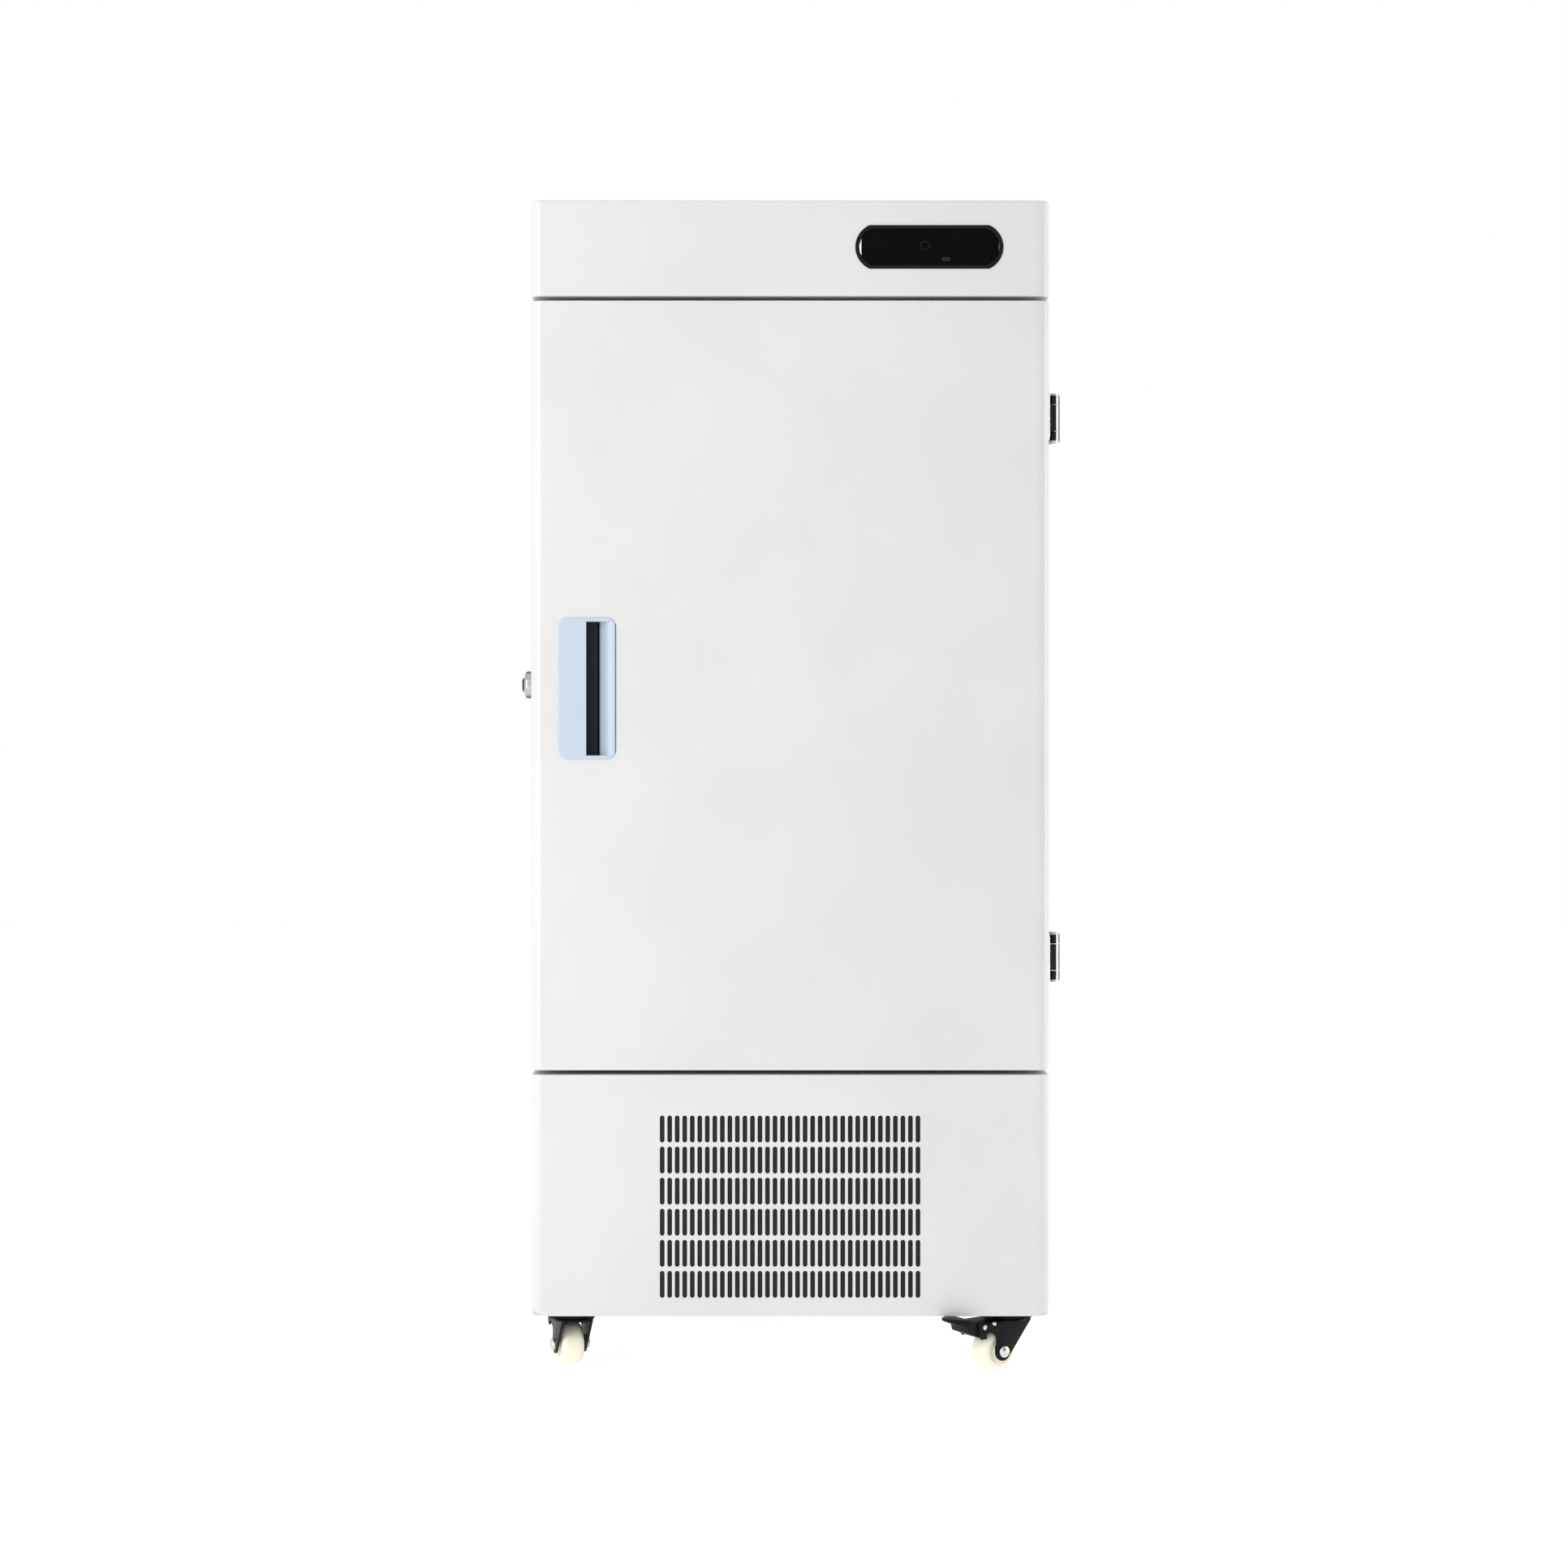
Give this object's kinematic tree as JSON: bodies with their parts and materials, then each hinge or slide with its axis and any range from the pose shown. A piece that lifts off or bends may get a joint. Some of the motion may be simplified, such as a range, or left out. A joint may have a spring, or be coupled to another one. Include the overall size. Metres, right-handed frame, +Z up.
{
  "type": "ultra low temperature freezer",
  "caption": "Upright laboratory freezer on casters with a foamed side-hinged door, recessed pull, side lock, inner doors, head display and slotted lower fascia.",
  "frame": {"origin": "on the floor under the middle of the cabinet", "axes": "+Z up, -Y the front with the door, +X the hinge side (right as seen from the front)"},
  "size_m": [0.632, 0.687, 1.356],
  "materials": {
    "white_paint": "satin",
    "black_paint": "satin",
    "galvanised_sheet": "satin",
    "stainless_sheet": "satin",
    "bright_chrome": "gloss",
    "zinc_steel": "satin",
    "insulation_foam": "matte",
    "grey_plastic": "matte",
    "blue_plastic": "satin",
    "black_plastic": "gloss",
    "dark_plastic": "matte",
    "ivory_nylon": "satin",
    "grey_rubber": "matte",
    "black_rubber": "matte",
    "copper": "satin",
    "aluminium_fins": "satin",
    "circuit_board": "satin",
    "filter_mat": "matte"
  },
  "bodies": {
    "cabinet": {"left_side_panel": "white_paint", "right_side_panel": "white_paint", "top_cover": "white_paint", "rear_panel": "galvanised_sheet", "rear_service_grille": "galvanised_sheet", "machine_deck": "galvanised_sheet", "electronics_deck": "galvanised_sheet", "base_chassis": "galvanised_sheet", "insulation_foam": "insulation_foam", "inner_liner": "stainless_sheet", "breaker_frame": "grey_plastic", "shelves": "stainless_sheet", "evaporator_coil": "copper", "temperature_probe": "stainless_sheet", "head_fascia": "white_paint", "display_bezel": "black_plastic", "display_window": "black_plastic", "circuit_boards": "circuit_board", "lower_fascia": "white_paint", "air_filter": "filter_mat", "condenser": "aluminium_fins", "fan_shroud": "black_paint", "fan_motor": "black_paint", "compressor_high_stage": "black_paint", "compressor_low_stage": "black_paint", "compressor_grommets": "black_rubber", "refrigerant_lines": "copper", "hinge_cabinet_leaves": "bright_chrome", "hinge_pins": "zinc_steel", "inner_door_brackets": "stainless_sheet", "lock_keeper": "zinc_steel", "power_inlet": "dark_plastic", "caster_plates": "black_paint", "caster_bolts": "zinc_steel"},
    "door": {"door_skin": "white_paint", "door_foam": "insulation_foam", "door_inner_panel": "grey_plastic", "door_gasket": "grey_rubber", "handle_recess": "blue_plastic", "hinge_door_leaves": "bright_chrome", "lock_housing": "bright_chrome"},
    "lock_core": {"lock_core": "zinc_steel"},
    "inner_door_lower": {"inner_door_lower": "grey_plastic"},
    "inner_door_upper": {"inner_door_upper": "grey_plastic"},
    "fan_impeller": {"fan_impeller": "dark_plastic"},
    "power_switch_rocker": {"power_switch_rocker": "black_plastic"},
    "caster_front_left": {"caster_front_left_fork": "black_paint", "caster_front_left_axle": "zinc_steel"},
    "caster_front_left_wheel": {"caster_front_left_wheel": "ivory_nylon"},
    "brake_pedal_front_left": {"brake_pedal_front_left": "black_paint"},
    "caster_front_right": {"caster_front_right_fork": "black_paint", "caster_front_right_axle": "zinc_steel"},
    "caster_front_right_wheel": {"caster_front_right_wheel": "ivory_nylon"},
    "brake_pedal_front_right": {"brake_pedal_front_right": "black_paint"},
    "caster_rear_left": {"caster_rear_left_fork": "black_paint", "caster_rear_left_axle": "zinc_steel"},
    "caster_rear_left_wheel": {"caster_rear_left_wheel": "ivory_nylon"},
    "caster_rear_right": {"caster_rear_right_fork": "black_paint", "caster_rear_right_axle": "zinc_steel"},
    "caster_rear_right_wheel": {"caster_rear_right_wheel": "ivory_nylon"}
  },
  "joints": [
    {"name": "door_swing", "type": "hinge", "parent": "cabinet", "child": "door", "pos_m": [0.3115, -0.256, 0.79575], "axis": [0, 0, 1], "range_deg": [0, 115]},
    {"name": "lock_turn", "type": "hinge", "parent": "door", "child": "lock_core", "pos_m": [-0.3, -0.285, 0.798], "axis": [-1, 0, 0], "range_deg": [0, 90]},
    {"name": "inner_door_lower_swing", "type": "hinge", "parent": "cabinet", "child": "inner_door_lower", "pos_m": [0.214, -0.2343, 0.618], "axis": [0, 0, 1], "range_deg": [0, 100]},
    {"name": "inner_door_upper_swing", "type": "hinge", "parent": "cabinet", "child": "inner_door_upper", "pos_m": [0.214, -0.2343, 0.978], "axis": [0, 0, 1], "range_deg": [0, 100]},
    {"name": "fan_spin", "type": "hinge", "parent": "cabinet", "child": "fan_impeller", "pos_m": [0, -0.2448, 0.188], "axis": [0, 1, 0], "continuous": true},
    {"name": "power_switch_tilt", "type": "hinge", "parent": "cabinet", "child": "power_switch_rocker", "pos_m": [0.207, 0.326, 0.12], "axis": [1, 0, 0], "range_deg": [-8, 8]},
    {"name": "caster_front_left_swivel", "type": "hinge", "parent": "cabinet", "child": "caster_front_left", "pos_m": [-0.253, -0.292, 0.06], "axis": [0, 0, 1], "continuous": true},
    {"name": "caster_front_left_wheel_roll", "type": "hinge", "parent": "caster_front_left", "child": "caster_front_left_wheel", "pos_m": [-0.25885, -0.27287, 0.025], "axis": [0.9563, 0.2924, 0], "continuous": true},
    {"name": "brake_pedal_front_left_press", "type": "hinge", "parent": "caster_front_left", "child": "brake_pedal_front_left", "pos_m": [-0.26703, -0.2461, 0.052], "axis": [-0.9563, -0.2924, 0], "range_deg": [0, 12]},
    {"name": "caster_front_right_swivel", "type": "hinge", "parent": "cabinet", "child": "caster_front_right", "pos_m": [0.253, -0.292, 0.06], "axis": [0, 0, 1], "continuous": true},
    {"name": "caster_front_right_wheel_roll", "type": "hinge", "parent": "caster_front_right", "child": "caster_front_right_wheel", "pos_m": [0.23662, -0.30347, 0.025], "axis": [-0.5736, 0.8192, 0], "continuous": true},
    {"name": "brake_pedal_front_right_press", "type": "hinge", "parent": "caster_front_right", "child": "brake_pedal_front_right", "pos_m": [0.21368, -0.31953, 0.052], "axis": [0.5736, -0.8192, 0], "range_deg": [0, 12]},
    {"name": "caster_rear_left_swivel", "type": "hinge", "parent": "cabinet", "child": "caster_rear_left", "pos_m": [-0.253, 0.292, 0.06], "axis": [0, 0, 1], "continuous": true},
    {"name": "caster_rear_left_wheel_roll", "type": "hinge", "parent": "caster_rear_left", "child": "caster_rear_left_wheel", "pos_m": [-0.263, 0.30932, 0.025], "axis": [0.866, 0.5, 0], "continuous": true},
    {"name": "caster_rear_right_swivel", "type": "hinge", "parent": "cabinet", "child": "caster_rear_right", "pos_m": [0.253, 0.292, 0.06], "axis": [0, 0, 1], "continuous": true},
    {"name": "caster_rear_right_wheel_roll", "type": "hinge", "parent": "caster_rear_right", "child": "caster_rear_right_wheel", "pos_m": [0.25818, 0.31132, 0.025], "axis": [0.9659, -0.2588, 0], "continuous": true}
  ],
  "couplings": [
    {"joint": "inner_door_lower_swing", "follows": "door_swing", "ratio": 0.86},
    {"joint": "inner_door_upper_swing", "follows": "door_swing", "ratio": 0.86}
  ]
}
